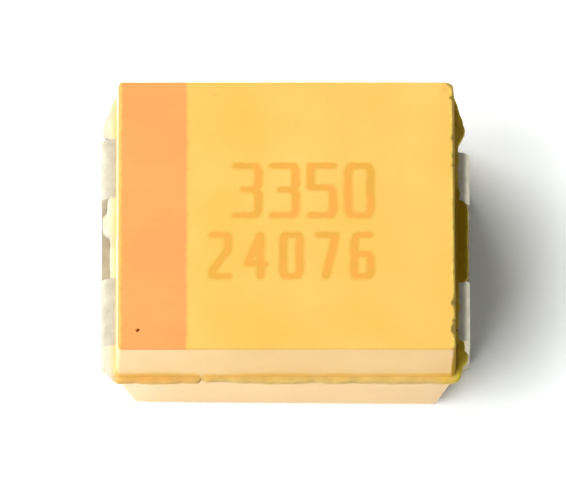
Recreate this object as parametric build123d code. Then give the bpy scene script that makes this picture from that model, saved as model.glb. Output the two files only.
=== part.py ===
from build123d import *
from math import radians, tan
import os

# Moulded tantalum chip capacitor in the 3528-21 body (case size B).
# Millimetres, +Z up. The origin is the middle of the footprint on the board,
# +X points from the anode end, which carries the stripe, to the cathode end.

# Outside
overall_length = 3.50          # over the legs of the two terminals
leg_reach = 0.14               # end of the case to the outer face of the leg
parting_height = 1.10          # board to the middle of the lead frame
upper_height = 0.80            # parting plane to the top face
standoff = 0.05                # board to the underside of the case

# Moulded case
parting_width = 2.75
upper_end_draft = 2.3          # degrees from upright
upper_side_draft = 4.4
lower_end_draft = 9.3
lower_side_draft = 3.1
upright_radius = 0.07          # upright corners
top_edge_radius = 0.02
base_edge_radius = 0.03
belt_proud = 0.045             # flash belt round the parting line
web_reach = 0.105              # flash web beside the leads, out from the end of the case
web_cut = 0.20                 # length of its trimmed corner along the end
anode_tongue = 0.055           # resin tongue in the window, out from the end of the case
cathode_tongue = 0.115
tongue_radius = 0.04

# Laser mark
stripe_width = 0.66
stripe_thickness = 0.012       # depth of the discoloured resin

# Lead frame
strip_thickness = 0.10
strip_width = 2.00
bend_radius = 0.05             # inside radius of every bend
foot_length = 0.80             # out to the face of the leg
window_width = 0.80
window_inside = 0.11           # how far the window runs into the case
window_sill = 0.62             # board to the lower edge of the window in the leg
window_radius = 0.12
neck_inset = 0.15              # end of the case to where the strip narrows
step_inset = 0.20              # end of the case to the start of the step
step_run = 0.12
foot_gap = 0.02                # over the foot in its pocket
pocket_gap = 0.05              # round the foot in its pocket

# Cathode paddle under the slug
paddle_floor = 0.215           # resin under the paddle
paddle_width = 1.50
paddle_length = 1.60           # from the step to the tip
adhesive_thickness = 0.03
adhesive_margin = 0.08         # paddle left bare round the adhesive

# Slug and what is on it
roof = 0.35                    # resin over the coated slug
side_wall = 0.345              # resin beside it, at the parting plane
end_gap = 0.07                 # between the step of the cathode strip and the coated slug
anode_room = 0.92              # anode end of the case to the wire face of the slug
slug_edge_radius = 0.12
manganese_thickness = 0.03
graphite_thickness = 0.02
silver_thickness = 0.03
graphite_setback = 0.08        # bare rim behind the wire face
silver_setback = 0.14

# Wire, washer and weld tab
wire_diameter = 0.22
wire_sunk = 0.70               # length inside the slug
weld_flat = 0.02               # how far the weld has flattened the wire
washer_diameter = 0.62
washer_thickness = 0.08
tab_width = 0.90
tab_length = 0.36              # from the step to the tip
wire_end_gap = 0.06            # step to the end of the wire

parting_length = overall_length - 2 * leg_reach
case_end = parting_length / 2
top_z = parting_height + upper_height
leg_x = overall_length / 2 - strip_thickness / 2
step_end = case_end - step_inset - step_run

# Heights stack up from the underside of the case
paddle_z = standoff + paddle_floor + strip_thickness / 2
adhesive_z = paddle_z + strip_thickness / 2
coats = manganese_thickness + graphite_thickness + silver_thickness
coated_base = adhesive_z + adhesive_thickness
slug_height = top_z - roof - coated_base - 2 * coats
slug_z = coated_base + coats + slug_height / 2
slug_width = parting_width - 2 * side_wall - 2 * coats

# Along the part the slug fills what the two ends leave
coated_end = step_end - strip_thickness / 2 - end_gap
wire_face = anode_room - case_end
slug_end = coated_end - coats
tab_z = slug_z - wire_diameter / 2 + weld_flat - strip_thickness / 2


# One half of the case: a rounded rectangle that narrows away from the parting plane.
def case_half(height, end_draft, side_draft):
    rise = abs(height)
    length = parting_length - 2 * rise * tan(radians(end_draft))
    width = parting_width - 2 * rise * tan(radians(side_draft))
    rim = Pos(0, 0, parting_height) * RectangleRounded(parting_length, parting_width, upright_radius)
    face = Pos(0, 0, parting_height + height) * RectangleRounded(length, width, upright_radius)
    return loft([rim, face], ruled=True), length, width


# A plate of the lead frame's thickness in the parting plane.
def in_parting_plane(outline):
    return Pos(0, 0, parting_height) * extrude(outline, strip_thickness / 2, both=True)


# Resin that leaked beside the leads at the cathode end, with its trimmed corners.
def flash_webs():
    root = case_end - upright_radius
    belt_end = case_end + belt_proud
    web_end = case_end + web_reach
    side = parting_width / 2 + belt_proud
    inner = strip_width / 2
    outline = make_face(Polyline(
        (root, inner), (web_end, inner), (web_end, side - web_cut), (belt_end, side), (root, side),
        close=True))
    web = in_parting_plane(outline)
    return web + mirror(web, Plane.XZ)


# Resin between the two prongs of a lead, at the cathode end.
def tongue(reach):
    length = reach + belt_proud
    plate = in_parting_plane(Pos(case_end - belt_proud + length / 2, 0) * Rectangle(length, window_width))
    return fillet(plate.edges().filter_by(Axis.Z).group_by(Axis.X)[-1], tongue_radius)


# Room for the foot in the underside, at the cathode end.
def foot_pocket():
    tip = overall_length / 2 - foot_length - pocket_gap
    length = case_end - tip
    depth = strip_thickness + foot_gap
    return Pos(tip + length / 2, 0, depth / 2) * Box(length, strip_width + 2 * pocket_gap, depth)


# A terminal at the cathode end: one strip bent from foot to leg to prongs, then stepped
# down inside the case to a tab of its own height, width and length.
def terminal(inner_z, inner_width, inner_length):
    tip = step_end - inner_length
    route = FilletPolyline(
        (overall_length / 2 - foot_length, 0, strip_thickness / 2),
        (leg_x, 0, strip_thickness / 2),
        (leg_x, 0, parting_height),
        (case_end - step_inset, 0, parting_height),
        (step_end, 0, inner_z),
        (tip, 0, inner_z),
        radius=bend_radius + strip_thickness / 2)
    section = Plane(route @ 0, x_dir=(0, 1, 0), z_dir=route % 0) * Rectangle(strip_width, strip_thickness)
    strip = sweep(section, path=route)

    # inside the case the strip is only as wide as its tab
    neck = case_end - neck_inset
    side = (strip_width - inner_width) / 2
    trim = Pos((neck + tip) / 2, (inner_width + side) / 2, parting_height / 2 + paddle_z / 2) * Box(
        neck - tip, side, parting_height)
    strip -= trim
    strip -= mirror(trim, Plane.XZ)

    # the window runs from inside the case over the bend and down the leg
    window_start = case_end - window_inside
    flat_length = 2 * (overall_length / 2 - window_start)
    flat = Pos(overall_length / 2, 0, parting_height) * RectangleRounded(
        flat_length, window_width, window_radius)
    rise = 2 * (parting_height - window_sill)
    upright = Plane(origin=(leg_x, 0, parting_height), x_dir=(0, 1, 0), z_dir=(1, 0, 0)) * RectangleRounded(
        window_width, rise, window_radius)
    strip -= extrude(flat, strip_thickness, both=True)
    strip -= extrude(upright, strip_thickness, both=True)
    return strip


# The block of the slug grown by its coats, from a given wire-side end.
def pellet(grown, start):
    end = slug_end + grown
    outline = RectangleRounded(slug_width + 2 * grown, slug_height + 2 * grown, slug_edge_radius + grown)
    across = Plane(origin=(start, 0, slug_z), x_dir=(0, 1, 0), z_dir=(1, 0, 0))
    return extrude(across * outline, end - start)


# A round bar along X between two places, at the height of the wire.
def bar(diameter, start, end):
    return Pos((start + end) / 2, 0, slug_z) * Rot(0, 90, 0) * Cylinder(diameter / 2, end - start)


cathode_terminal = terminal(paddle_z, paddle_width, paddle_length)
anode_terminal = mirror(terminal(tab_z, tab_width, tab_length), Plane.YZ)

wire_end = wire_end_gap - step_end
riser_wire = bar(wire_diameter, wire_end, wire_face + wire_sunk) - anode_terminal
washer_face = wire_face - washer_thickness
ptfe_washer = bar(washer_diameter, washer_face, wire_face) - bar(wire_diameter, washer_face, wire_face)
tantalum_slug = pellet(0, wire_face) - bar(wire_diameter, wire_face, wire_face + wire_sunk)

# each coat is the next larger block, hollowed by the one before
under_graphite = manganese_thickness
under_silver = under_graphite + graphite_thickness
manganese_dioxide_coat = pellet(under_graphite, wire_face - manganese_thickness) - pellet(0, wire_face) \
    - bar(washer_diameter, washer_face, wire_face)
graphite_coat = pellet(under_silver, wire_face + graphite_setback) \
    - pellet(under_graphite, wire_face)
silver_coat = pellet(coats, wire_face + silver_setback) - pellet(under_silver, wire_face)

paddle_tip = step_end - paddle_length
adhesive_length = coated_end - paddle_tip - 2 * adhesive_margin
silver_adhesive = Pos(
    (coated_end + paddle_tip) / 2, 0, adhesive_z + adhesive_thickness / 2) * Box(
    adhesive_length, paddle_width - 2 * adhesive_margin, adhesive_thickness)

upper, top_length, top_width = case_half(upper_height, upper_end_draft, upper_side_draft)
upper = fillet(upper.faces().sort_by(Axis.Z)[-1].edges(), top_edge_radius)
lower, base_length, base_width = case_half(
    standoff - parting_height, lower_end_draft, lower_side_draft)
lower = fillet(lower.faces().sort_by(Axis.Z)[0].edges(), base_edge_radius)
belt = in_parting_plane(RectangleRounded(
    parting_length + 2 * belt_proud, parting_width + 2 * belt_proud, upright_radius + belt_proud))
webs = flash_webs()
moulded_case = upper + lower + belt + webs + mirror(webs, Plane.YZ)
moulded_case += tongue(cathode_tongue)
moulded_case += mirror(tongue(anode_tongue), Plane.YZ)
moulded_case -= foot_pocket()
moulded_case -= mirror(foot_pocket(), Plane.YZ)

# the stripe is burnt into the top face, flush with it
stripe_length = top_width - 2 * top_edge_radius
stripe_start = top_edge_radius - top_length / 2
polarity_stripe = Pos(
    stripe_start + stripe_width / 2, 0, top_z - stripe_thickness / 2) * Box(
    stripe_width, stripe_length, stripe_thickness)

moulded_case -= [
    polarity_stripe,
    anode_terminal, cathode_terminal, riser_wire, ptfe_washer, pellet(0, wire_face),
    manganese_dioxide_coat, graphite_coat, silver_coat, silver_adhesive]

nodes = {
    "moulded_case": moulded_case,
    "polarity_stripe": polarity_stripe,
    "anode_terminal": anode_terminal,
    "cathode_terminal": cathode_terminal,
    "tantalum_slug": tantalum_slug,
    "riser_wire": riser_wire,
    "ptfe_washer": ptfe_washer,
    "manganese_dioxide_coat": manganese_dioxide_coat,
    "graphite_coat": graphite_coat,
    "silver_coat": silver_coat,
    "silver_adhesive": silver_adhesive,
}
os.makedirs("parts", exist_ok=True)
for name, shape in nodes.items():
    export_step(shape, f"parts/{name}.step")
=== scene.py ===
import math

import bpy
import numpy as np
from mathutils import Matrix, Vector


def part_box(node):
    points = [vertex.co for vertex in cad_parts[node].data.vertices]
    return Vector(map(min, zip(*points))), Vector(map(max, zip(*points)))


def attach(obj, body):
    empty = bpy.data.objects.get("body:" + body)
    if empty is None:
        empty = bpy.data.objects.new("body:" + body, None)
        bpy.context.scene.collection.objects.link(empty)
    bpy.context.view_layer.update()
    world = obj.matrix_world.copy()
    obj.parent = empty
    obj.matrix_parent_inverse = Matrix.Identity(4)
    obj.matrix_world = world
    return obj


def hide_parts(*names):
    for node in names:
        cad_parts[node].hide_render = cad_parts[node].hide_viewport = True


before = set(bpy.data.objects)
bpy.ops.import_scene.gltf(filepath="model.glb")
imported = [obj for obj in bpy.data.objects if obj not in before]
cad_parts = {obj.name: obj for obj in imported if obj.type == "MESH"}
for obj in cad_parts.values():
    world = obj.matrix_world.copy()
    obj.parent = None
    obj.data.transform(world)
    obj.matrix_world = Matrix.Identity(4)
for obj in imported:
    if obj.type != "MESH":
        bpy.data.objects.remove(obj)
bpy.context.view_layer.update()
mm = 0.001
print("frame loaded:", len(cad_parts), "nodes")


def linearColour(code):  # sRGB hex to the linear colour that Blender mixes in
    parts = np.array([int(code[i:i + 2], 16) / 255 for i in (1, 3, 5)])
    linear = np.where(parts <= 0.04045, parts / 12.92, ((parts + 0.055) / 1.055) ** 2.4)
    return (*linear.tolist(), 1.0)


# the sockets of a colour mix: its two colours and its result
first, second, mixed = 6, 7, 2


def addNode(tree, kind, inputs=None, **settings):  # an input is a value or another node's socket
    node = tree.nodes.new(kind)
    for name, value in settings.items():
        setattr(node, name, value)
    for socket, value in (inputs or {}).items():
        if isinstance(value, bpy.types.NodeSocket):
            tree.links.new(value, node.inputs[socket])
        else:
            node.inputs[socket].default_value = value
    return node


def newMaterial(name):  # an empty material with its output, and the place in millimetres to pattern by
    material = bpy.data.materials.new(name)
    material.use_nodes = True
    tree = material.node_tree
    tree.nodes.clear()
    output = addNode(tree, "ShaderNodeOutputMaterial")
    place = addNode(tree, "ShaderNodeTexCoord").outputs["Object"]
    perMm = addNode(tree, "ShaderNodeVectorMath", {0: place, 1: (1 / mm,) * 3}, operation="MULTIPLY")
    return material, tree, output, perMm.outputs[0]


def addPiece(name, points, faces, material, slot, smooth=True, sharp=None):  # points in millimetres
    mesh = bpy.data.meshes.new(name)
    mesh.from_pydata((points * mm).tolist(), [], faces if isinstance(faces, list) else faces.tolist())
    mesh.polygons.foreach_set("use_smooth", np.full(len(faces), smooth))
    if sharp:
        mesh.set_sharp_from_angle(angle=math.radians(sharp))
    mesh.materials.append(material)
    piece = bpy.data.objects.new(name, mesh)
    bpy.context.scene.collection.objects.link(piece)
    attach(piece, "root")
    return piece


def quadsOf(index):  # quads between the neighbouring rows and columns of a grid of point numbers
    corners = [index[:-1, :-1], index[:-1, 1:], index[1:, 1:], index[1:, :-1]]
    return np.stack(corners, -1).reshape(-1, 4)


def gridFaces(rows, columns, wrap=False):
    # quads of a grid whose points are numbered row by row. wrap joins its last column to the first
    index = np.arange(rows * columns).reshape(rows, columns)
    return quadsOf(np.hstack([index, index[:, :1]]) if wrap else index)


def thicken(piece, thickness, offset, bevel=0.0):
    # a sheet gets its thickness, to both sides of it (offset 0) or below it (-1), and rounded edges
    solid = piece.modifiers.new("thickness", "SOLIDIFY")
    solid.thickness = thickness * mm
    solid.offset = offset
    if bevel:
        edge = piece.modifiers.new("edges", "BEVEL")
        edge.width = bevel * mm
        edge.segments = 2
        edge.angle_limit = math.radians(50)
        edge.harden_normals = True


def wander(along, waves, size, seed):
    # a smooth random line: the mean of one sine for each wavelength, with random phases
    phases = np.random.default_rng(seed).uniform(0, 2 * np.pi, len(waves))
    angles = 2 * np.pi * np.asarray(along)[..., None] / np.array(waves) + phases
    return size * np.sin(angles).mean(-1)


def swells(along, places):
    # a sum of bell curves, each given by its middle, half width and height
    middle, half, height = np.array(places).T
    return (height * np.exp(-((np.asarray(along)[..., None] - middle) / half) ** 2)).sum(-1)


def ramp(value, low, high):  # 0 at low, 1 at high, straight between
    return np.clip((value - low) / (high - low), 0, 1)


def roundedPath(corners, step):
    # straight runs joined by arcs. A corner is (along, up, radius): the arc starts and ends
    # radius * tan(turn / 2) from it, or less on a short run. Gives the points and the distance run
    spots = [np.array(corners[0][:2], float)]
    for before, (x, y, radius), after in zip(corners[:-2], corners[1:-1], corners[2:]):
        here = np.array((x, y), float)
        into = here - before[:2]
        out = np.array(after[:2]) - here
        room = 0.45 * min(np.linalg.norm(into), np.linalg.norm(out))  # neighbouring arcs never meet
        into, out = into / np.linalg.norm(into), out / np.linalg.norm(out)
        cross = into[0] * out[1] - into[1] * out[0]
        turn = math.atan2(cross, into @ out)
        if abs(turn) < 1e-6 or radius == 0:
            spots.append(here[None])
            continue
        cut = min(radius * math.tan(abs(turn) / 2), room)
        radius = cut / math.tan(abs(turn) / 2)
        side = np.array((-into[1], into[0])) * np.sign(turn)
        centre = here - into * cut + side * radius
        angles = np.linspace(0, turn, max(3, int(abs(turn) / 0.16)))
        cos, sin = np.cos(angles), np.sin(angles)
        arm = -side * radius
        arc = np.stack([arm[0] * cos - arm[1] * sin, arm[0] * sin + arm[1] * cos], -1)
        spots.append(centre + arc)
    spots.append(np.array(corners[-1][:2], float))
    bends = np.vstack(spots)
    gaps = np.linalg.norm(np.diff(bends, axis=0), axis=1)
    run = np.concatenate([[0], np.cumsum(gaps)])
    extra = [np.linspace(a, b, max(2, math.ceil((b - a) / step) + 1)) for a, b in zip(run[:-1], run[1:])]
    fine = np.unique(np.concatenate(extra).round(9))
    return np.stack([np.interp(fine, run, bends[:, k]) for k in (0, 1)], -1), fine


def mouldedEpoxy(name, pale, deep, coat, rough, specular):
    # silica-filled epoxy from a matt eroded mould: dense warm yellow with faint cloudy patches of
    # filler, and a thin resin-rich skin (the coat) that gives a satin gloss at low angles. Where a
    # laser has discoloured it the yellow turns orange: evenly in the stripe ("stripe"), in orange
    # and ochre blotches in the figures ("figure"). Rubbed spots are a little browner ("scuff")
    material, tree, output, place = newMaterial(name)
    cloud = addNode(tree, "ShaderNodeTexNoise", {"Vector": place, "Scale": 1.1, "Detail": 3.0})
    body = addNode(tree, "ShaderNodeMix", {
        "Factor": cloud.outputs["Fac"], first: linearColour(pale), second: linearColour(deep)},
        data_type="RGBA")
    filler = addNode(tree, "ShaderNodeTexNoise", {"Vector": place, "Scale": 1 / 0.035, "Detail": 2.0})
    grain = addNode(tree, "ShaderNodeMapRange", {
        "Value": filler.outputs["Fac"], "From Min": 0.3, "From Max": 0.7, "To Min": 0.985, "To Max": 1.01})
    flecked = addNode(tree, "ShaderNodeMix", {
        "Factor": 1.0, first: body.outputs[mixed], second: grain.outputs[0]},
        data_type="RGBA", blend_type="MULTIPLY")

    patches = addNode(tree, "ShaderNodeTexNoise", {"Vector": place, "Scale": 1.6, "Detail": 4.0})
    scan = addNode(tree, "ShaderNodeTexWave", {
        "Vector": place, "Scale": 1 / 0.3, "Distortion": 1.5, "Detail": 2.0}, bands_direction="Y")
    blend = addNode(tree, "ShaderNodeMath", {
        0: scan.outputs["Fac"], 1: 0.06, 2: patches.outputs["Fac"]}, operation="MULTIPLY_ADD")
    share = addNode(tree, "ShaderNodeMapRange", {
        "Value": blend.outputs[0], "From Min": 0.35, "From Max": 0.85})
    orange = addNode(tree, "ShaderNodeMix", {
        "Factor": share.outputs[0], first: linearColour("#F8A558"), second: linearColour("#F09B4D")},
        data_type="RGBA")
    stripe = addNode(tree, "ShaderNodeAttribute", attribute_name="stripe")
    striped = addNode(tree, "ShaderNodeMix", {
        "Factor": stripe.outputs["Fac"], first: flecked.outputs[mixed], second: orange.outputs[mixed]},
        data_type="RGBA")

    blotches = addNode(tree, "ShaderNodeTexNoise", {"Vector": place, "Scale": 1 / 0.22, "Detail": 2.0})
    figure = addNode(tree, "ShaderNodeAttribute", attribute_name="figure")
    depth = addNode(tree, "ShaderNodeMath", {
        0: figure.outputs["Fac"], 1: 0.34, 2: blotches.outputs["Fac"]}, operation="MULTIPLY_ADD")
    tone = addNode(tree, "ShaderNodeMapRange", {
        "Value": depth.outputs[0], "From Min": 0.6, "From Max": 0.9})
    burnt = addNode(tree, "ShaderNodeMix", {
        "Factor": tone.outputs[0], first: linearColour("#E2A736"), second: linearColour("#F2A53F")},
        data_type="RGBA")
    drawn = addNode(tree, "ShaderNodeMapRange", {"Value": figure.outputs["Fac"], "From Max": 0.55})
    marked = addNode(tree, "ShaderNodeMix", {
        "Factor": drawn.outputs[0], first: striped.outputs[mixed], second: burnt.outputs[mixed]},
        data_type="RGBA")

    scuff = addNode(tree, "ShaderNodeAttribute", attribute_name="scuff")
    colour = addNode(tree, "ShaderNodeMix", {
        "Factor": scuff.outputs["Fac"], first: marked.outputs[mixed], second: linearColour("#C98F4C")},
        data_type="RGBA")
    skin = addNode(tree, "ShaderNodeTexNoise", {"Vector": place, "Scale": 1 / 0.02, "Detail": 3.0})
    bump = addNode(tree, "ShaderNodeBump", {
        "Height": skin.outputs["Fac"], "Strength": 0.35, "Distance": 0.002 * mm})
    shader = addNode(tree, "ShaderNodeBsdfPrincipled", {
        "Base Color": colour.outputs[mixed], "Normal": bump.outputs[0], "Roughness": rough, "IOR": 1.54,
        "Coat Weight": coat, "Coat Roughness": 0.25, "Specular IOR Level": specular})
    tree.links.new(shader.outputs[0], output.inputs[0])
    return material


def leakedEpoxyPaintedShading():
    # resin that leaked along the parting line, or broke: no moulded skin, so it is dull. At the anode end
    # it is a pale grey-white, and from there it goes from ochre to a paler yellow. At the cathode end
    # the colour is painted shade and light: darker olive in the window, which lies in the case's shade,
    # lemon beside it where light comes round the corners, and a paler painted highlight at its outer edge
    material, tree, output, place = newMaterial("leakedEpoxyPaintedShading")
    along, across, _ = addNode(tree, "ShaderNodeSeparateXYZ", {0: place}).outputs
    fromMiddle = addNode(tree, "ShaderNodeMath", {0: across}, operation="ABSOLUTE")
    # painted shade and light by distance from the middle: dark olive in the shaded window, lemon beside it
    litBesideWindow = addNode(tree, "ShaderNodeMapRange", {
        "Value": fromMiddle.outputs[0], "From Min": 0.45, "From Max": 0.6})
    shadedTongueLitWebs = addNode(tree, "ShaderNodeMix", {
        "Factor": litBesideWindow.outputs[0], first: linearColour("#D0B408"), second: linearColour("#FFE750")},
        data_type="RGBA")
    colour = linearColour("#D2CEBC")
    for start, end, tint in (
            (-1.66, -1.59, linearColour("#F4C16C")), (-1.1, -0.5, linearColour("#EECB78")),
            (1.42, 1.50, linearColour("#F0CC62")), (1.59, 1.64, shadedTongueLitWebs.outputs[mixed]),
            # a paler yellow at the outer edge of the cathode end: a painted highlight
            (1.69, 1.75, linearColour("#EBD65E"))):
        passed = addNode(tree, "ShaderNodeMapRange", {"Value": along, "From Min": start, "From Max": end})
        colour = addNode(tree, "ShaderNodeMix", {
            "Factor": passed.outputs[0], first: colour, second: tint}, data_type="RGBA").outputs[mixed]
    crumbs = addNode(tree, "ShaderNodeTexNoise", {"Vector": place, "Scale": 1 / 0.14, "Detail": 3.0})
    shade = addNode(tree, "ShaderNodeMapRange", {
        "Value": crumbs.outputs["Fac"], "From Min": 0.35, "From Max": 0.65, "To Min": 0.9, "To Max": 1.04})
    mottled = addNode(tree, "ShaderNodeMix", {
        "Factor": 1.0, first: colour, second: shade.outputs[0]}, data_type="RGBA", blend_type="MULTIPLY")
    bump = addNode(tree, "ShaderNodeBump", {
        "Height": crumbs.outputs["Fac"], "Strength": 0.3, "Distance": 0.003 * mm})
    shader = addNode(tree, "ShaderNodeBsdfPrincipled", {
        "Base Color": mottled.outputs[mixed], "Normal": bump.outputs[0], "Roughness": 0.75, "IOR": 1.54,
        "Specular IOR Level": 0.25})
    tree.links.new(shader.outputs[0], output.inputs[0])
    return material


def mattTin():
    # nickel-iron strip with electroplated matt tin: a soft pale grey metal, cloudy over tenths of a
    # millimetre and grainy over hundredths
    material, tree, output, place = newMaterial("mattTin")
    patches = addNode(tree, "ShaderNodeTexNoise", {"Vector": place, "Scale": 1 / 0.11, "Detail": 4.0})
    colour = addNode(tree, "ShaderNodeMix", {
        "Factor": patches.outputs["Fac"], first: linearColour("#E0DAC7"), second: linearColour("#B2AC98")},
        data_type="RGBA")
    rough = addNode(tree, "ShaderNodeMapRange", {
        "Value": patches.outputs["Fac"], "To Min": 0.5, "To Max": 0.62})
    grain = addNode(tree, "ShaderNodeTexNoise", {"Vector": place, "Scale": 1 / 0.015, "Detail": 3.0})
    bump = addNode(tree, "ShaderNodeBump", {
        "Height": grain.outputs["Fac"], "Strength": 0.4, "Distance": 0.002 * mm})
    shader = addNode(tree, "ShaderNodeBsdfPrincipled", {
        "Base Color": colour.outputs[mixed], "Metallic": 1.0, "Roughness": rough.outputs[0],
        "Normal": bump.outputs[0]})
    tree.links.new(shader.outputs[0], output.inputs[0])
    return material


def powderLayer(name, pale, deep, grainMm, rough, metallic=0.0, relief=0.6):
    # a sintered, pressed or dipped layer: two close shades in grains, with their relief
    material, tree, output, place = newMaterial(name)
    grains = addNode(tree, "ShaderNodeTexVoronoi", {"Vector": place, "Scale": 1 / grainMm})
    patches = addNode(tree, "ShaderNodeTexNoise", {"Vector": place, "Scale": 3.0, "Detail": 4.0})
    share = addNode(tree, "ShaderNodeMath", {
        0: grains.outputs["Distance"], 1: patches.outputs["Fac"]}, operation="MULTIPLY")
    colour = addNode(tree, "ShaderNodeMix", {
        "Factor": share.outputs[0], first: linearColour(pale), second: linearColour(deep)},
        data_type="RGBA")
    bump = addNode(tree, "ShaderNodeBump", {
        "Height": grains.outputs["Distance"], "Strength": relief, "Distance": 0.2 * grainMm * mm})
    shader = addNode(tree, "ShaderNodeBsdfPrincipled", {
        "Base Color": colour.outputs[mixed], "Metallic": metallic, "Roughness": rough,
        "Normal": bump.outputs[0]})
    tree.links.new(shader.outputs[0], output.inputs[0])
    return material


# rubbed through its skin the resin is dull, and its darker, more olive colour is painted shade for the
# cathode end, which faces away from the lamps
withSkin = {"pale": "#FFD070", "deep": "#EBB23A", "coat": 0.9, "rough": 0.55, "specular": 0.4}
withoutSkinShaded = {"pale": "#ECC24C", "deep": "#D8A42A", "coat": 0.0, "rough": 0.8, "specular": 0.1}
epoxy = mouldedEpoxy("mouldedEpoxy", **withSkin)
laserMarked = mouldedEpoxy("laserMarkedEpoxy", **withSkin)
dullShadedEpoxy = mouldedEpoxy("dullEpoxyPaintedShade", **withoutSkinShaded)
leaked = leakedEpoxyPaintedShading()
tin = mattTin()
innerFinishes = {
    "tantalum_slug": powderLayer("sinteredTantalum", "#6A6A70", "#3E3E44", 0.02, 0.7, 0.7),
    "riser_wire": powderLayer("drawnTantalumWire", "#9A9DA5", "#7C8089", 0.01, 0.3, 1.0, 0.2),
    "ptfe_washer": powderLayer("skivedPtfe", "#F4F4F1", "#E6E6E2", 0.05, 0.45, 0.0, 0.2),
    "manganese_dioxide_coat": powderLayer("pyrolysedManganeseDioxide", "#1E1B1A", "#0F0D0D", 0.015, 0.85),
    "graphite_coat": powderLayer("driedGraphite", "#303136", "#1F2023", 0.02, 0.45, 0.2),
    "silver_coat": powderLayer("silverPaint", "#C2C1BC", "#9D9C97", 0.012, 0.5, 0.8),
    "silver_adhesive": powderLayer("silverEpoxyAdhesive", "#A8A7A2", "#82817D", 0.02, 0.5, 0.6),
}
for node, finish in innerFinishes.items():
    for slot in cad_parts[node].material_slots:
        slot.material = finish
print("finishes made:", len(bpy.data.materials))


def boxOf(node):  # a node's lowest and highest corners in millimetres
    low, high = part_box(node)
    return np.array(low) / mm, np.array(high) / mm


caseLow, caseHigh = boxOf("moulded_case")
leadHigh = boxOf("cathode_terminal")[1]
wireLow = boxOf("riser_wire")[0]
adhesiveLow = boxOf("silver_adhesive")[0]

lead = {
    "thickness": 0.10, "bend": 0.10,          # the bend is at the middle of the strip
    "foot": 0.80, "reach": 0.14,              # length under the case, and how far the leg stands out
    "sill": 0.62,                             # the window's lower edge, over the board
    "windowInside": 0.11, "windowRadius": 0.12,
    # from the end of the case to where the strip narrows and to its step, and the step's length
    "neckInset": 0.15, "stepInset": 0.20, "stepRun": 0.12,
    "weldFlat": 0.02,                         # how far the weld has flattened the wire
    "bevel": 0.02, "step": 0.014, "perBlock": 8,   # spacing along the mesh, and faces across a block
}
halfStrip = lead["thickness"] / 2
topZ = caseHigh[2]
partingZ = leadHigh[2] - halfStrip
caseEnd = leadHigh[0] - lead["reach"]

# Each end: the edges of the strip and of its window across the part, the width, length and height
# of what the strip becomes inside, and the outline of the leaked resin as (across, out from the
# end of the case)
ends = {
    "anode": {
        "side": -1, "strip": (-1.06, 0.97), "window": (-0.405, 0.39),
        "inner": (0.90, 0.36, wireLow[2] + lead["weldFlat"] - halfStrip),
        "resin": [
            (-1.375, 0.035), (-1.27, 0.12), (-1.07, 0.12), (-1.04, 0), (-0.44, 0), (-0.42, 0.03),
            (-0.37, 0.05), (0.0, 0.05), (0.05, 0.115), (0.20, 0.12), (0.24, 0.08), (0.37, 0.075),
            (0.41, 0.03), (0.43, 0), (0.95, 0), (0.99, 0.115), (1.13, 0.12), (1.33, 0.03), (1.375, 0.01)]},
    "cathode": {
        "side": 1, "strip": (-1.01, 0.84), "window": (-0.42, 0.345),
        "inner": (1.50, 1.60, adhesiveLow[2] - halfStrip),
        "resin": [
            (-1.375, 0.05), (-1.27, 0.065), (-1.21, 0.112), (-1.14, 0.118), (-1.11, 0.088), (-1.02, 0.085),
            (-0.99, 0), (-0.46, 0), (-0.435, 0.09), (-0.39, 0.124), (0.31, 0.124), (0.36, 0.09), (0.385, 0),
            (0.81, 0), (0.85, 0.03), (0.91, 0.03), (0.99, 0.075), (1.07, 0.095), (1.15, 0.076),
            (1.375, 0)]},
}

case = {
    "beltProud": 0.045, "topEdge": 0.02, "baseEdge": 0.03,
    "corner": (0.03, 0.045),                              # of the lower half, and of the rest
    "endDraft": (9.3, 2.3), "sideDraft": (3.1, 4.4),      # degrees, lower and upper half
    "pocketGap": 0.05, "pocketCeiling": 0.12,             # round the foot, and over it
    "straightX": 0.95, "straightY": 1.12,                 # grid lines run straight inside these
    "step": 0.020, "arcSteps": 7,
    # how far the base stands out in front, at the cathode end, and the top edge of that end
    # behind and in front
    "baseSkew": 0.03, "topSkew": (0.008, 0.032),
    # a film of resin on the cathode strip, put where the strip shows shade and the wall's reflection, as
    # painted shade: its width, and its height at the outer edge and inside
    "shadeFilm": (0.036, 0.003, 0.015),
    # middle, half width and depth where the belt is broken off in front, and the top edge is worn
    "missing": [(-0.79, 0.022, 0.04), (-0.62, 0.12, 0.02), (0.29, 0.05, 0.02)],
    "worn": [(-1.12, 0.10, 0.030), (-0.86, 0.09, 0.024), (-0.44, 0.04, 0.02)],
    "nibbles": (40, 0.012, 0.026),                        # how many more, half width, greatest depth
    "chip": 0.085,                                        # off the back corner of the cathode end
    # from this margin of the top down, the cathode end takes the dull finish with painted shade
    "dull": (0.003, 0.034),                               # rubbed margin of the top, and how ragged
    "mostly": 0.35,                                       # share at which a face takes a finish
}
caseSide = caseHigh[1] - case["beltProud"]
pocketTip = leadHigh[0] - lead["foot"] - case["pocketGap"]
pocketSide = leadHigh[1] + case["pocketGap"]

marks = {
    "lift": 0.0015, "thickness": 0.010,             # of the stripe, which is sunk in the top face
    "stripe": (-1.558, -0.92),                      # its edges along the part
    "softEdge": 0.022,                              # over which its orange fades out
    "rows": [
        {"text": "3350", "left": -0.467, "base": 0.0, "height": 0.486, "width": 0.213, "pitch": 0.353},
        {"text": "24076", "left": -0.69, "base": -0.596, "height": 0.404, "width": 0.155, "pitch": 0.335}],
    "stroke": 0.118, "flatter": 1.35,               # width of an upright, and its ratio to a level one
    # rubbed spots: middle, half length, half width, strength
    "scuffs": [
        (-1.30, -0.27, 0.07, 0.006, 0.35), (-1.11, -0.863, 0.09, 0.007, 0.5),
        # the last spot, at the chipped back corner of the cathode end, is painted shade where the chip
        # turns away from the light
        (-0.667, 1.18, 0.04, 0.006, 0.4), (1.505, 1.245, 0.04, 0.045, 0.3)],
}

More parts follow.
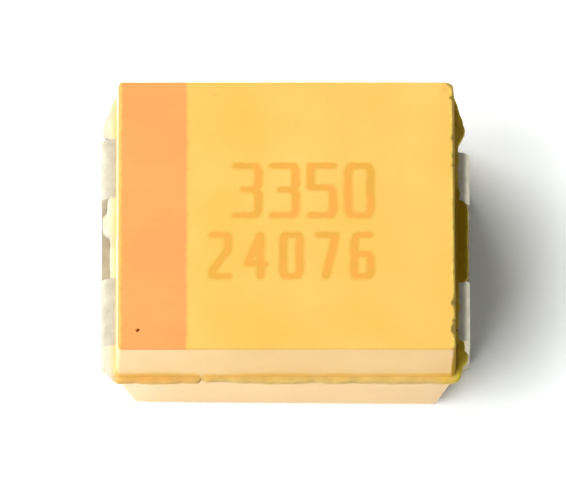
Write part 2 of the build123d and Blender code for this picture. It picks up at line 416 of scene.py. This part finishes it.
# each figure is drawn in a box one wide and one high, a stroke as its corners
figures = {
    "0": [[(0.12, 1), (0.88, 1), (1, 0.9), (1, 0.1), (0.88, 0), (0.12, 0), (0, 0.1), (0, 0.9), (0.12, 1)]],
    "2": [[(0, 1), (0.9, 1), (1, 0.92), (1, 0.66), (0, 0.12), (0, 0), (1, 0)]],
    "3": [[(0, 1), (0.88, 1), (1, 0.9), (1, 0.6), (0.8, 0.52), (1, 0.44), (1, 0.1), (0.88, 0), (0, 0)],
          [(0.35, 0.52), (0.8, 0.52)]],
    "4": [[(0.78, 0), (0.78, 1), (0, 0.3), (1.05, 0.3)]],
    "5": [[(1, 1), (0, 1), (0, 0.56), (0.88, 0.56), (1, 0.47), (1, 0.1), (0.88, 0), (0, 0)]],
    "6": [[(0.9, 1), (0.2, 1), (0, 0.85), (0, 0.1), (0.12, 0), (0.88, 0), (1, 0.1), (1, 0.44),
           (0.85, 0.54), (0, 0.54)]],
    "7": [[(0, 1), (1, 1), (1, 0.9), (0.42, 0)]],
}


def figureShare(x, y):
    # 1 on the figures' centre lines, falling evenly to 0 at half a stroke from them. Distances along Y
    # count for more, so level strokes come out thinner than upright ones
    starts = []
    stops = []
    for row in marks["rows"]:
        for place, figure in enumerate(row["text"]):
            corner = (row["left"] + place * row["pitch"], row["base"])
            for stroke in figures[figure]:
                line = (np.array(stroke) * (row["width"], row["height"]) + corner) * (1, marks["flatter"])
                starts.append(line[:-1])
                stops.append(line[1:])
    starts = np.vstack(starts)
    along = np.vstack(stops) - starts
    spots = np.stack([x, y * marks["flatter"]], -1)[:, None]
    share = np.clip(((spots - starts) * along).sum(-1) / (along ** 2).sum(-1), 0, 1)
    nearest = np.linalg.norm(spots - starts - share[..., None] * along, axis=-1).min(1)
    ragged = wander(x + 0.6 * y, (0.21, 0.13, 0.07), 0.006, 31)
    return ramp(marks["stroke"] / 2 + ragged - nearest, 0, marks["stroke"] / 2)


def scuffShare(x, y):  # a sum of flat bell curves, one for each rubbed spot
    spotX, spotY, halfX, halfY, strength = np.array(marks["scuffs"]).T
    farness = ((x[:, None] - spotX) / halfX) ** 2 + ((y[:, None] - spotY) / halfY) ** 2
    return (strength * np.exp(-farness)).sum(-1)


def setShares(piece, **shares):  # a number at each point of the mesh, for its material to read
    for name, share in shares.items():
        attribute = piece.data.attributes.new(name, "FLOAT", "POINT")
        attribute.data.foreach_set("value", share.astype(np.float32))


def stations(reach, stops):
    # places along a straight run, evenly spread between stops, with a close pair at each stop
    knots = np.sort([0.0, reach] + [stop + d for stop in stops for d in (-0.004, 0.004)])
    runs = [np.linspace(a, b, math.ceil((b - a) / case["step"]) + 1) for a, b in zip(knots[:-1], knots[1:])]
    half = np.unique(np.concatenate(runs).round(6))
    return np.concatenate([-half[:0:-1], half])


alongX = stations(caseEnd - case["corner"][1], [pocketTip])
alongY = stations(caseSide - case["corner"][1], [pocketSide])


def fitRun(run, straight, reach):
    # stations inside straight stay, and those outside spread evenly up to reach
    outside = ramp(np.abs(run), straight, run.max())
    return np.sign(run) * (np.minimum(np.abs(run), straight) + outside * (reach - straight))


def frontAndRight(length, width, radius):
    # two sides of a rounded rectangle, each from the middle of one corner to the middle of the
    # next: an eighth of a circle, the straight stations, an eighth of a circle
    eighth = np.linspace(0, math.pi / 4, case["arcSteps"] + 1)
    sin, cos = radius * np.sin(eighth), radius * np.cos(eighth)
    farX, farY = length - radius, width - radius
    x = fitRun(alongX, case["straightX"], farX)
    y = fitRun(alongY, case["straightY"], farY)
    frontX = np.concatenate([-farX - sin[:0:-1], x, farX + sin[1:]])
    frontY = np.concatenate([-farY - cos[:0:-1], np.full(len(x), -width), -farY - cos[1:]])
    rightX = np.concatenate([farX + cos[:0:-1], np.full(len(y), length), farX + cos[1:]])
    rightY = np.concatenate([-farY - sin[:0:-1], y, farY + sin[1:]])
    return np.stack([frontX, frontY], -1), np.stack([rightX, rightY], -1)


def capGrid(front, right, level):
    # fills a rounded rectangle: the lines run straight across its middle, and beyond it they are
    # drawn out in proportion until the last ones lie on the four sides
    x, y = front[:, 0], right[:, 1]
    pullX = np.sign(x) * ramp(np.abs(x), case["straightX"], x.max())
    pullY = np.sign(y) * ramp(np.abs(y), case["straightY"], y.max())
    gridX = x[None, :] + pullX[None, :] * (right[:, 0] - x.max())[:, None]
    gridY = y[:, None] + pullY[:, None] * (-front[:, 1] - y.max())[None, :]
    return np.dstack([gridX, gridY, np.full(gridX.shape, level)])


def wallRows():
    # rows up the wall from the base edge to the top edge: height, inset, and share of the belt. The
    # two edges are quarter circles
    quarter = np.linspace(0, math.pi / 2, 5)
    low, high, base = case["baseEdge"], case["topEdge"], caseLow[2]
    rows = [(base + low * (1 - math.cos(a)), low * (1 - math.sin(a)), 0) for a in quarter]
    rows += [(z, 0, 0) for z in np.linspace(base + low, partingZ - halfStrip, 9)[1:-1]]
    belt = [(-1, 0), (-1, 0.8), (-0.8, 1), (-0.4, 1.03), (0, 1), (0.4, 0.97), (0.8, 0.95), (0.97, 0.8),
            (0.97, 0)]
    rows += [(partingZ + up * halfStrip, 0, share) for up, share in belt]
    rows += [(partingZ + halfStrip + up, 0, 0) for up in case["shadeFilm"][1:]]
    rows += [(z, 0, 0) for z in np.linspace(partingZ + halfStrip, topZ - 0.12, 6)[1:]]
    rows += [(topZ - d, 0, 0) for d in (0.09, 0.07, 0.05, 0.035)]
    rows += [(topZ - high * (1 - math.sin(a)), high * (1 - math.cos(a)), 0) for a in quarter]
    return np.array(rows).T


def caseShell():
    # a stack of rounded rectangles, one for each row of the wall. Each is shrunk by the draft of
    # its half, and in the belt pushed out by the leaked resin. A grid closes it below and above.
    # Gives the points, the quads, how far each point is leaked resin, and whether it is on the cathode end,
    # which is rubbed dull and painted darker as shade
    height, inset, belt = wallRows()
    upper = (height > partingZ).astype(int)
    fall = np.abs(height - partingZ) * (belt == 0)
    lengths = caseEnd - inset - fall * np.tan(np.radians(case["endDraft"]))[upper]
    widths = caseSide - inset - fall * np.tan(np.radians(case["sideDraft"]))[upper]
    corners = np.array(case["corner"])[((height > partingZ) | (belt > 0)).astype(int)]
    sides = [frontAndRight(*sizes) for sizes in zip(lengths, widths, corners)]
    rings = np.array([np.vstack([f[:-1], r[:-1], -f[:-1], -r[:-1]]) for f, r in sides])
    rows, around = rings.shape[:2]

    # the way out at each point of the parting line, and how far the resin leaked there
    outline = rings[np.argmax(belt)]
    inner = np.array((caseEnd, caseSide)) - case["corner"][1]
    out = outline - np.clip(outline, -inner, inner)
    out /= np.linalg.norm(out, axis=1, keepdims=True)
    run = np.concatenate([[0], np.cumsum(np.linalg.norm(np.diff(outline, axis=0), axis=1))])
    proud = case["beltProud"] * (0.92 + wander(run, (1.3, 0.55, 0.23, 0.11), 0.22, 4))
    proud -= swells(outline[:, 0], case["missing"]) * (outline[:, 1] < 0)
    atEnd = [np.interp(outline[:, 1], *np.array(ends[key]["resin"]).T) for key in ("anode", "cathode")]
    reach = np.where(outline[:, 0] > 0, atEnd[1], atEnd[0])
    reach += wander(outline[:, 1], (0.31, 0.13, 0.07), 0.006, 9) * (reach > 0.02)
    push = np.stack([reach, np.maximum(proud, 0.004)], -1) * out
    droop = (wander(run, (2.1, 0.9, 0.4), 0.006, 7) - 0.006)[None, :] * (belt > 0)[:, None]
    walls = np.dstack([rings + belt[:, None, None] * push[None], height[:, None] + droop])

    # number the points: the wall first, then the inside of each cap, bordered by the nearest ring
    points, faces = [walls.reshape(-1, 3)], [gridFaces(rows, around, wrap=True)]
    start = rows * around
    for row, level, turned in ((0, caseLow[2], True), (rows - 1, topZ, False)):
        grid = capGrid(*sides[row], level)
        across, along = grid.shape[:2]
        edge = row * around + np.arange(around + 1) % around
        index = np.zeros((across, along), int)
        index[0] = edge[:along]
        index[:, -1] = edge[along - 1:along + across - 1]
        index[-1, ::-1] = edge[along + across - 2:2 * along + across - 2]
        index[::-1, 0] = edge[2 * along + across - 3:]
        inside = (across - 2) * (along - 2)
        index[1:-1, 1:-1] = start + np.arange(inside).reshape(across - 2, along - 2)
        start += inside
        faces.append(quadsOf(index)[:, ::-1] if turned else quadsOf(index))
        points.append(grid[1:-1, 1:-1].reshape(-1, 3))
    points, faces = np.vstack(points), np.vstack(faces)
    flash = np.zeros(len(points))
    flash[:rows * around] = np.repeat(np.clip(belt, 0, 1), around)

    # over the feet everything near the base is lifted to the ceiling of their pockets
    x, y, z = points.T
    pocket = (np.abs(x) > pocketTip) & (np.abs(y) < pocketSide)
    points[:, 2] = np.where(pocket, np.maximum(z, case["pocketCeiling"]), z)

    # the lower half isn't quite square: its front leans out more and more towards the cathode end
    lean = ramp(x, -caseEnd, caseEnd) * ramp(-y, 0, caseSide) * ramp(partingZ - halfStrip - z, 0, partingZ)
    points[:, 1] -= case["baseSkew"] * lean

    # the worn top edge of the cathode end, cut back along a slanting plane of changing depth, and
    # the chip off its back corner, cut along a plane across the three faces
    count, breadth, depth = case["nibbles"]
    dice = np.random.default_rng(12)
    nibbles = [
        (dice.uniform(-1.3, 1.3), breadth * dice.uniform(0.6, 1.8), depth * dice.random())
        for _ in range(count)]
    slack = lengths[-1] + case["topEdge"] - x + topZ - z
    worn = np.clip(swells(y, case["worn"] + nibbles) - slack, 0, None) * (x > 0)
    points[:, (0, 2)] -= worn[:, None] / 2
    cornerSlack = slack + widths[-1] + case["topEdge"] - y
    chipped = np.clip(case["chip"] - cornerSlack, 0, None) * (x > 0)
    points -= chipped[:, None] / 3
    flash = np.maximum(flash, ramp(worn + chipped, 0.0, 0.02))

    # the cathode end is rubbed dull and painted a darker olive as shade, down from a ragged margin of the
    # top, where it is worn as well
    margin, ragged = case["dull"]
    bite = ragged * ramp(wander(y, (0.23, 0.11, 0.06, 0.045), 1.0, 15), -0.2, 0.6)
    dullShadedEnd = (z > partingZ) & (x > lengths[-1] + margin - bite)
    flash = np.maximum(flash, dullShadedEnd * (z > topZ - case["topEdge"]))
    wall = caseEnd - np.abs(partingZ - z) * math.tan(math.radians(case["endDraft"][0]))
    dullShadedEnd |= (z < partingZ) & (x > wall - margin)

    # that end wall stands steeper than the other, and more so towards the front. A film of resin of uneven
    # width lies on the strip along its foot, as painted shade: it stands in for the shade and the wall's
    # reflection there
    back, front = case["topSkew"]
    width, low, high = case["shadeFilm"]
    rise = z - partingZ - halfStrip
    skew = back + (front - back) * ramp(-y, -caseSide, caseSide)
    skew *= ramp(rise, 0, topZ - partingZ - halfStrip)
    shadeFilm = (rise > 0) * ramp(rise, high, low) * ramp(np.abs(y), 1.2, 1.0) * (x > case["straightX"])
    shadeFilm *= 1 + wander(y, (0.83, 0.37, 0.16), 0.35, 17)
    points[:, 0] += (skew + width * shadeFilm) * ramp(x, case["straightX"], caseEnd)
    flash = np.maximum(flash, shadeFilm)
    return points, faces, flash, dullShadedEnd


points, faces, flash, dullShadedEnd = caseShell()
shell = addPiece("mouldedCase", points, faces, epoxy, "case_epoxy", sharp=38)
shell.data.materials.append(leaked)
shell.data.materials.append(dullShadedEpoxy)
# leaked resin takes the second finish, and the cathode end the third: dull, and painted darker as shade
isLeaked = flash[faces].mean(1) > case["mostly"]
isDullShaded = dullShadedEnd[faces].mean(1) > case["mostly"]
shell.data.polygons.foreach_set("material_index", np.where(isLeaked, 1, 2 * isDullShaded).astype(np.int32))
# the figures and scuffs are on the top face, and the stripe's orange spills over its outer edge
onTop = points[:, 2] > topZ - 0.001
spill = ramp(points[:, 2], topZ - 0.035, topZ - 0.01) * (points[:, 0] < marks["stripe"][0])
figure = figureShare(*points.T[:2]) * onTop
scuff = scuffShare(*points.T[:2]) * onTop
setShares(shell, figure=figure, scuff=scuff, stripe=spill)
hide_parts("moulded_case")
print("moulded case:", len(faces), "quads")


def terminal(key):
    # one strip carried along its bent path, in three blocks across: one beside the window, the
    # window, which has faces only before its sill and past its inner end, and one on the other side.
    # Near the window's ends its half width follows a quarter circle. Past the neck the strip is as
    # narrow as its inner end
    end = ends[key]
    width, length, innerZ = end["inner"]
    legX = leadHigh[0] - halfStrip
    stepEnd = caseEnd - lead["stepInset"] - lead["stepRun"]
    route, run = roundedPath([
        (leadHigh[0] - lead["foot"], halfStrip, 0), (legX, halfStrip, lead["bend"]),
        (legX, lead["sill"], 0), (legX, partingZ, lead["bend"]),
        (caseEnd - lead["windowInside"], partingZ, 0), (caseEnd - lead["neckInset"], partingZ, 0),
        (caseEnd - lead["stepInset"], partingZ, lead["bend"]),
        (stepEnd, innerZ, lead["bend"]), (stepEnd - length, innerZ, 0)], lead["step"])
    x, z = route.T
    sill = run[np.hypot(x - legX, z - lead["sill"]).argmin()]
    inner = run[np.hypot(x - caseEnd + lead["windowInside"], z - partingZ).argmin()]
    neck = run[np.hypot(x - caseEnd + lead["neckInset"], z - partingZ).argmin()]
    radius = lead["windowRadius"]
    intoWindow = np.clip(np.minimum(run - sill, inner - run), 0, radius)
    windowFront, windowBack = end["window"]
    middle = (windowFront + windowBack) / 2
    gap = (windowBack - windowFront) / 2 - radius + np.sqrt(radius ** 2 - (radius - intoWindow) ** 2)
    outside = run < neck + 1e-6
    front = np.where(outside, end["strip"][0], -width / 2) + wander(run, (0.9, 0.37), 0.004, 3)
    back = np.where(outside, end["strip"][1], width / 2) + wander(run, (0.8, 0.33), 0.004, 5)

    # even steps across each block, between the edges of the strip and of its window
    edges = np.stack([front, middle - gap, middle + gap, back], -1)
    perBlock = lead["perBlock"]
    share = np.arange(3 * perBlock + 1) / perBlock
    block = np.minimum(share.astype(int), 2)
    across = edges[:, block] + (edges[:, block + 1] - edges[:, block]) * (share - block)
    rows, columns = across.shape
    points = np.dstack([np.tile(end["side"] * x[:, None], columns), across, np.tile(z[:, None], columns)])
    between = (run[1:] + run[:-1]) / 2
    column = np.arange(columns - 1)
    inBlock = (column >= perBlock) & (column < 2 * perBlock)
    inGap = ((between > sill) & (between < inner))[:, None] & inBlock[None, :]
    faces = gridFaces(rows, columns)[~inGap.ravel()]
    used, faces = np.unique(faces, return_inverse=True)
    points = points.reshape(-1, 3)[used]
    piece = addPiece(key + "Terminal", points, faces.reshape(-1, 4), tin, "tinned_strip")
    thicken(piece, lead["thickness"], 0.0, bevel=lead["bevel"])
    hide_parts(key + "_terminal")


for key in ends:
    terminal(key)
print("terminals bent")


def stripeSheet():
    # a sheet that follows the top edge down at the front and back: a quarter circle, the straight
    # top, a quarter circle, carried along the part between two slightly ragged edges
    radius = case["topEdge"] + marks["lift"]
    side = caseSide - (topZ - partingZ) * math.tan(math.radians(case["sideDraft"][1])) - case["topEdge"]
    angle = np.linspace(0.25, 1, 7) * math.pi / 2
    flat = np.linspace(-side, side, 260)
    y = np.concatenate([-side - radius * np.cos(angle[:-1]), flat, side + radius * np.cos(angle[-2::-1])])
    drop = radius * (np.sin(angle[:-1]) - 1)
    z = topZ + marks["lift"] + np.concatenate([drop, np.zeros(len(flat)), drop[::-1]])
    left = marks["stripe"][0] + wander(y, (0.7, 0.19, 0.08), 0.008, 21)
    right = marks["stripe"][1] + wander(y, (0.9, 0.23, 0.09), 0.008, 22)
    soft = marks["softEdge"]
    columns = [left, left + soft] + [left + (right - left) * s for s in np.linspace(0.06, 0.94, 44)]
    columns += [right - soft, right]
    x = np.stack(columns, -1)
    rows, count = x.shape
    points = np.dstack([x, np.tile(y[:, None], count), np.tile(z[:, None], count)]).reshape(-1, 3)
    share = np.ones((rows, count))
    share[:, (0, -1)] = 0
    # columns run along +X and rows along +Y, so the faces look up
    return points, gridFaces(rows, count), share.ravel()


points, faces, share = stripeSheet()
stripe = addPiece("polarityStripe", points, faces, laserMarked, "stripe_laser_mark", smooth=False)
setShares(stripe, stripe=share, scuff=scuffShare(*points.T[:2]))
thicken(stripe, marks["thickness"], -1.0)
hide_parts("polarity_stripe")
print("stripe burnt")


speck = {"middle": (-1.391, -1.126), "radius": 0.017, "height": 0.008}  # a charred fleck on the stripe


def darkSpeck():
    # a squashed dome: its radius falls as a quarter circle towards the crown and wanders round it,
    # and fans of triangles close it above and below
    turn = np.linspace(0, 2 * math.pi, 25)[:-1]
    rise = np.linspace(0, math.pi / 2, 7)[:-1, None]
    radius = speck["radius"] * np.cos(rise) * (1 + 0.18 * np.sin(2 * turn + 0.6) + 0.08 * np.sin(5 * turn))
    x, y = speck["middle"]
    base = topZ + marks["lift"] / 2
    height = np.tile(base + speck["height"] * np.sin(rise), len(turn))
    dome = np.dstack([x + radius * np.cos(turn), y + radius * np.sin(turn), height]).reshape(-1, 3)
    points = np.vstack([dome, (x, y, base + speck["height"]), (x, y, base)])
    rim = np.arange(len(turn))
    ahead = np.roll(rim, -1)
    last = len(dome) - len(turn)
    crown = np.stack([last + rim, last + ahead, np.full(len(rim), len(dome))], -1)
    foot = np.stack([ahead, rim, np.full(len(rim), len(dome) + 1)], -1)
    quads = gridFaces(len(rise), len(turn), wrap=True)
    return points, quads.tolist() + crown.tolist() + foot.tolist()


char = powderLayer("charredFleck", "#8E4A10", "#5C2E08", 0.01, 0.9)
addPiece("darkSpeck", *darkSpeck(), char, "case_epoxy")
print("speck made")


studio = {
    "floorSize": 600, "floorLent": "#D4D4D4",    # the white that the floor lends to what stands on it
    "floorLift": (1.54, 1.60, 1.61),             # and how bright it shows, in red, green and blue
    "ambient": 0.09, "roomLift": 1.45,           # how bright the room lights, and how bright it shows
    # way to each softbox, width and height, and share of the light on a level face if it were small
    "softboxes": {
        "softboxBackLeft": {"way": (-0.9, 1.03, 1), "distance": 80, "size": (64, 64), "share": 0.53},
        "softboxFrontLeft": {"way": (-1.0, -0.62, 1), "distance": 80, "size": (96, 66), "share": 0.83}},
    # grey cards over the part and beyond its cathode end, seen only in reflections: middle, size, tilt
    "flags": {"ceilingFlag": ((255, 0, 120), (500, 600), 0), "sideFlag": ((300, 0, 60), (120, 600), 90)},
    "cameraAngle": 74, "cameraDistance": 150, "aim": (-0.0218, -0.068, 0.95), "viewWidth": 5.37,
}


def stageSheet(name, middle, size, material, tilt=0):
    # a flat rectangle, level with the floor or turned up about the Y axis by tilt degrees
    x, y = np.meshgrid(np.array((-0.5, 0.5)) * size[0], np.array((-0.5, 0.5)) * size[1])
    rise = math.radians(tilt)
    points = np.dstack([x * math.cos(rise), y, x * math.sin(rise)]).reshape(-1, 3) + middle
    mesh = bpy.data.meshes.new(name)
    mesh.from_pydata((points * mm).tolist(), [], gridFaces(2, 2).tolist())
    mesh.materials.append(material)
    sheet = bpy.data.objects.new(name, mesh)
    bpy.context.scene.collection.objects.link(sheet)
    return sheet


def paperFloor():
    # matt white paper, exposed to show as white to the camera and in reflections, while it lends a
    # little less than white to what stands on it
    material, tree, output, _ = newMaterial("mattWhitePaper")
    path = addNode(tree, "ShaderNodeLightPath")
    mirrored = addNode(tree, "ShaderNodeMath", {
        0: path.outputs["Is Camera Ray"], 1: path.outputs["Is Glossy Ray"]}, operation="MAXIMUM")
    seen = addNode(tree, "ShaderNodeMath", {
        0: mirrored.outputs[0], 1: path.outputs["Is Transmission Ray"]}, operation="MAXIMUM")
    colour = addNode(tree, "ShaderNodeMix", {
        "Factor": seen.outputs[0], first: linearColour(studio["floorLent"]),
        second: (*studio["floorLift"], 1)}, data_type="RGBA")
    shader = addNode(tree, "ShaderNodeBsdfDiffuse", {"Color": colour.outputs[mixed]})
    tree.links.new(shader.outputs[0], output.inputs[0])
    return material


def greyCard():
    # matt light grey card, which dims the room a little where the metal and the gloss mirror it
    material, tree, output, _ = newMaterial("mattGreyCard")
    shader = addNode(tree, "ShaderNodeBsdfDiffuse", {"Color": linearColour("#C4C4C4")})
    tree.links.new(shader.outputs[0], output.inputs[0])
    return material


def whiteWorld():
    # a dim even room, which shows as white where it is seen. Where it is mirrored it is brighter than
    # white, in place of the softboxes, which are left out of reflections
    world = bpy.data.worlds.new("studioRoom")
    world.use_nodes = True
    tree = world.node_tree
    tree.nodes.clear()
    path = addNode(tree, "ShaderNodeLightPath")
    mirrored = addNode(tree, "ShaderNodeMath", {
        0: path.outputs["Is Camera Ray"], 1: path.outputs["Is Glossy Ray"]}, operation="MAXIMUM")
    seen = addNode(tree, "ShaderNodeMath", {
        0: mirrored.outputs[0], 1: path.outputs["Is Transmission Ray"]}, operation="MAXIMUM")
    strength = addNode(tree, "ShaderNodeMapRange", {
        "Value": seen.outputs[0], "To Min": studio["ambient"], "To Max": studio["roomLift"]})
    room = addNode(tree, "ShaderNodeBackground", {
        "Color": linearColour("#FFFFFF"), "Strength": strength.outputs[0]})
    output = addNode(tree, "ShaderNodeOutputWorld")
    tree.links.new(room.outputs[0], output.inputs[0])
    bpy.context.scene.world = world


def aimedAt(name, data, place, target):  # a lamp or camera at a place in millimetres
    thing = bpy.data.objects.new(name, data)
    bpy.context.scene.collection.objects.link(thing)
    thing.location = Vector(place) * mm
    thing.rotation_euler = (Vector(target) - Vector(place)).to_track_quat("-Z", "Y").to_euler()
    return thing


stageSheet("paperFloor", (0, 0, 0), (studio["floorSize"],) * 2, paperFloor())
card = greyCard()
for name, (middle, size, tilt) in studio["flags"].items():
    flag = stageSheet(name, middle, size, card, tilt)
    flag.visible_camera = False
    flag.visible_diffuse = False
    flag.visible_shadow = False
whiteWorld()

# a lamp's power for its share of the light: pi squared, share and distance squared, over the sine of
# its height
for name, box in studio["softboxes"].items():
    lamp = bpy.data.lights.new(name, "AREA")
    lamp.shape = "RECTANGLE"
    lamp.size, lamp.size_y = np.array(box["size"]) * mm
    way = Vector(box["way"]).normalized()
    lamp.energy = math.pi ** 2 * box["share"] * (box["distance"] * mm) ** 2 / way.z
    softbox = aimedAt(name, lamp, way * box["distance"], (0, 0, 0))
    softbox.visible_glossy = False  # its mirror image would wash out the satin top

lens = bpy.data.cameras.new("camera")
lens.sensor_width = 36
lens.lens = lens.sensor_width * studio["cameraDistance"] / studio["viewWidth"]
lens.clip_start = 0.01
tilt = math.radians(studio["cameraAngle"])
back = Vector((0, -math.cos(tilt), math.sin(tilt))) * studio["cameraDistance"]
camera = aimedAt("camera", lens, Vector(studio["aim"]) + back, studio["aim"])
bpy.context.scene.camera = camera
bpy.context.scene.view_settings.view_transform = "Standard"
print("studio lit")
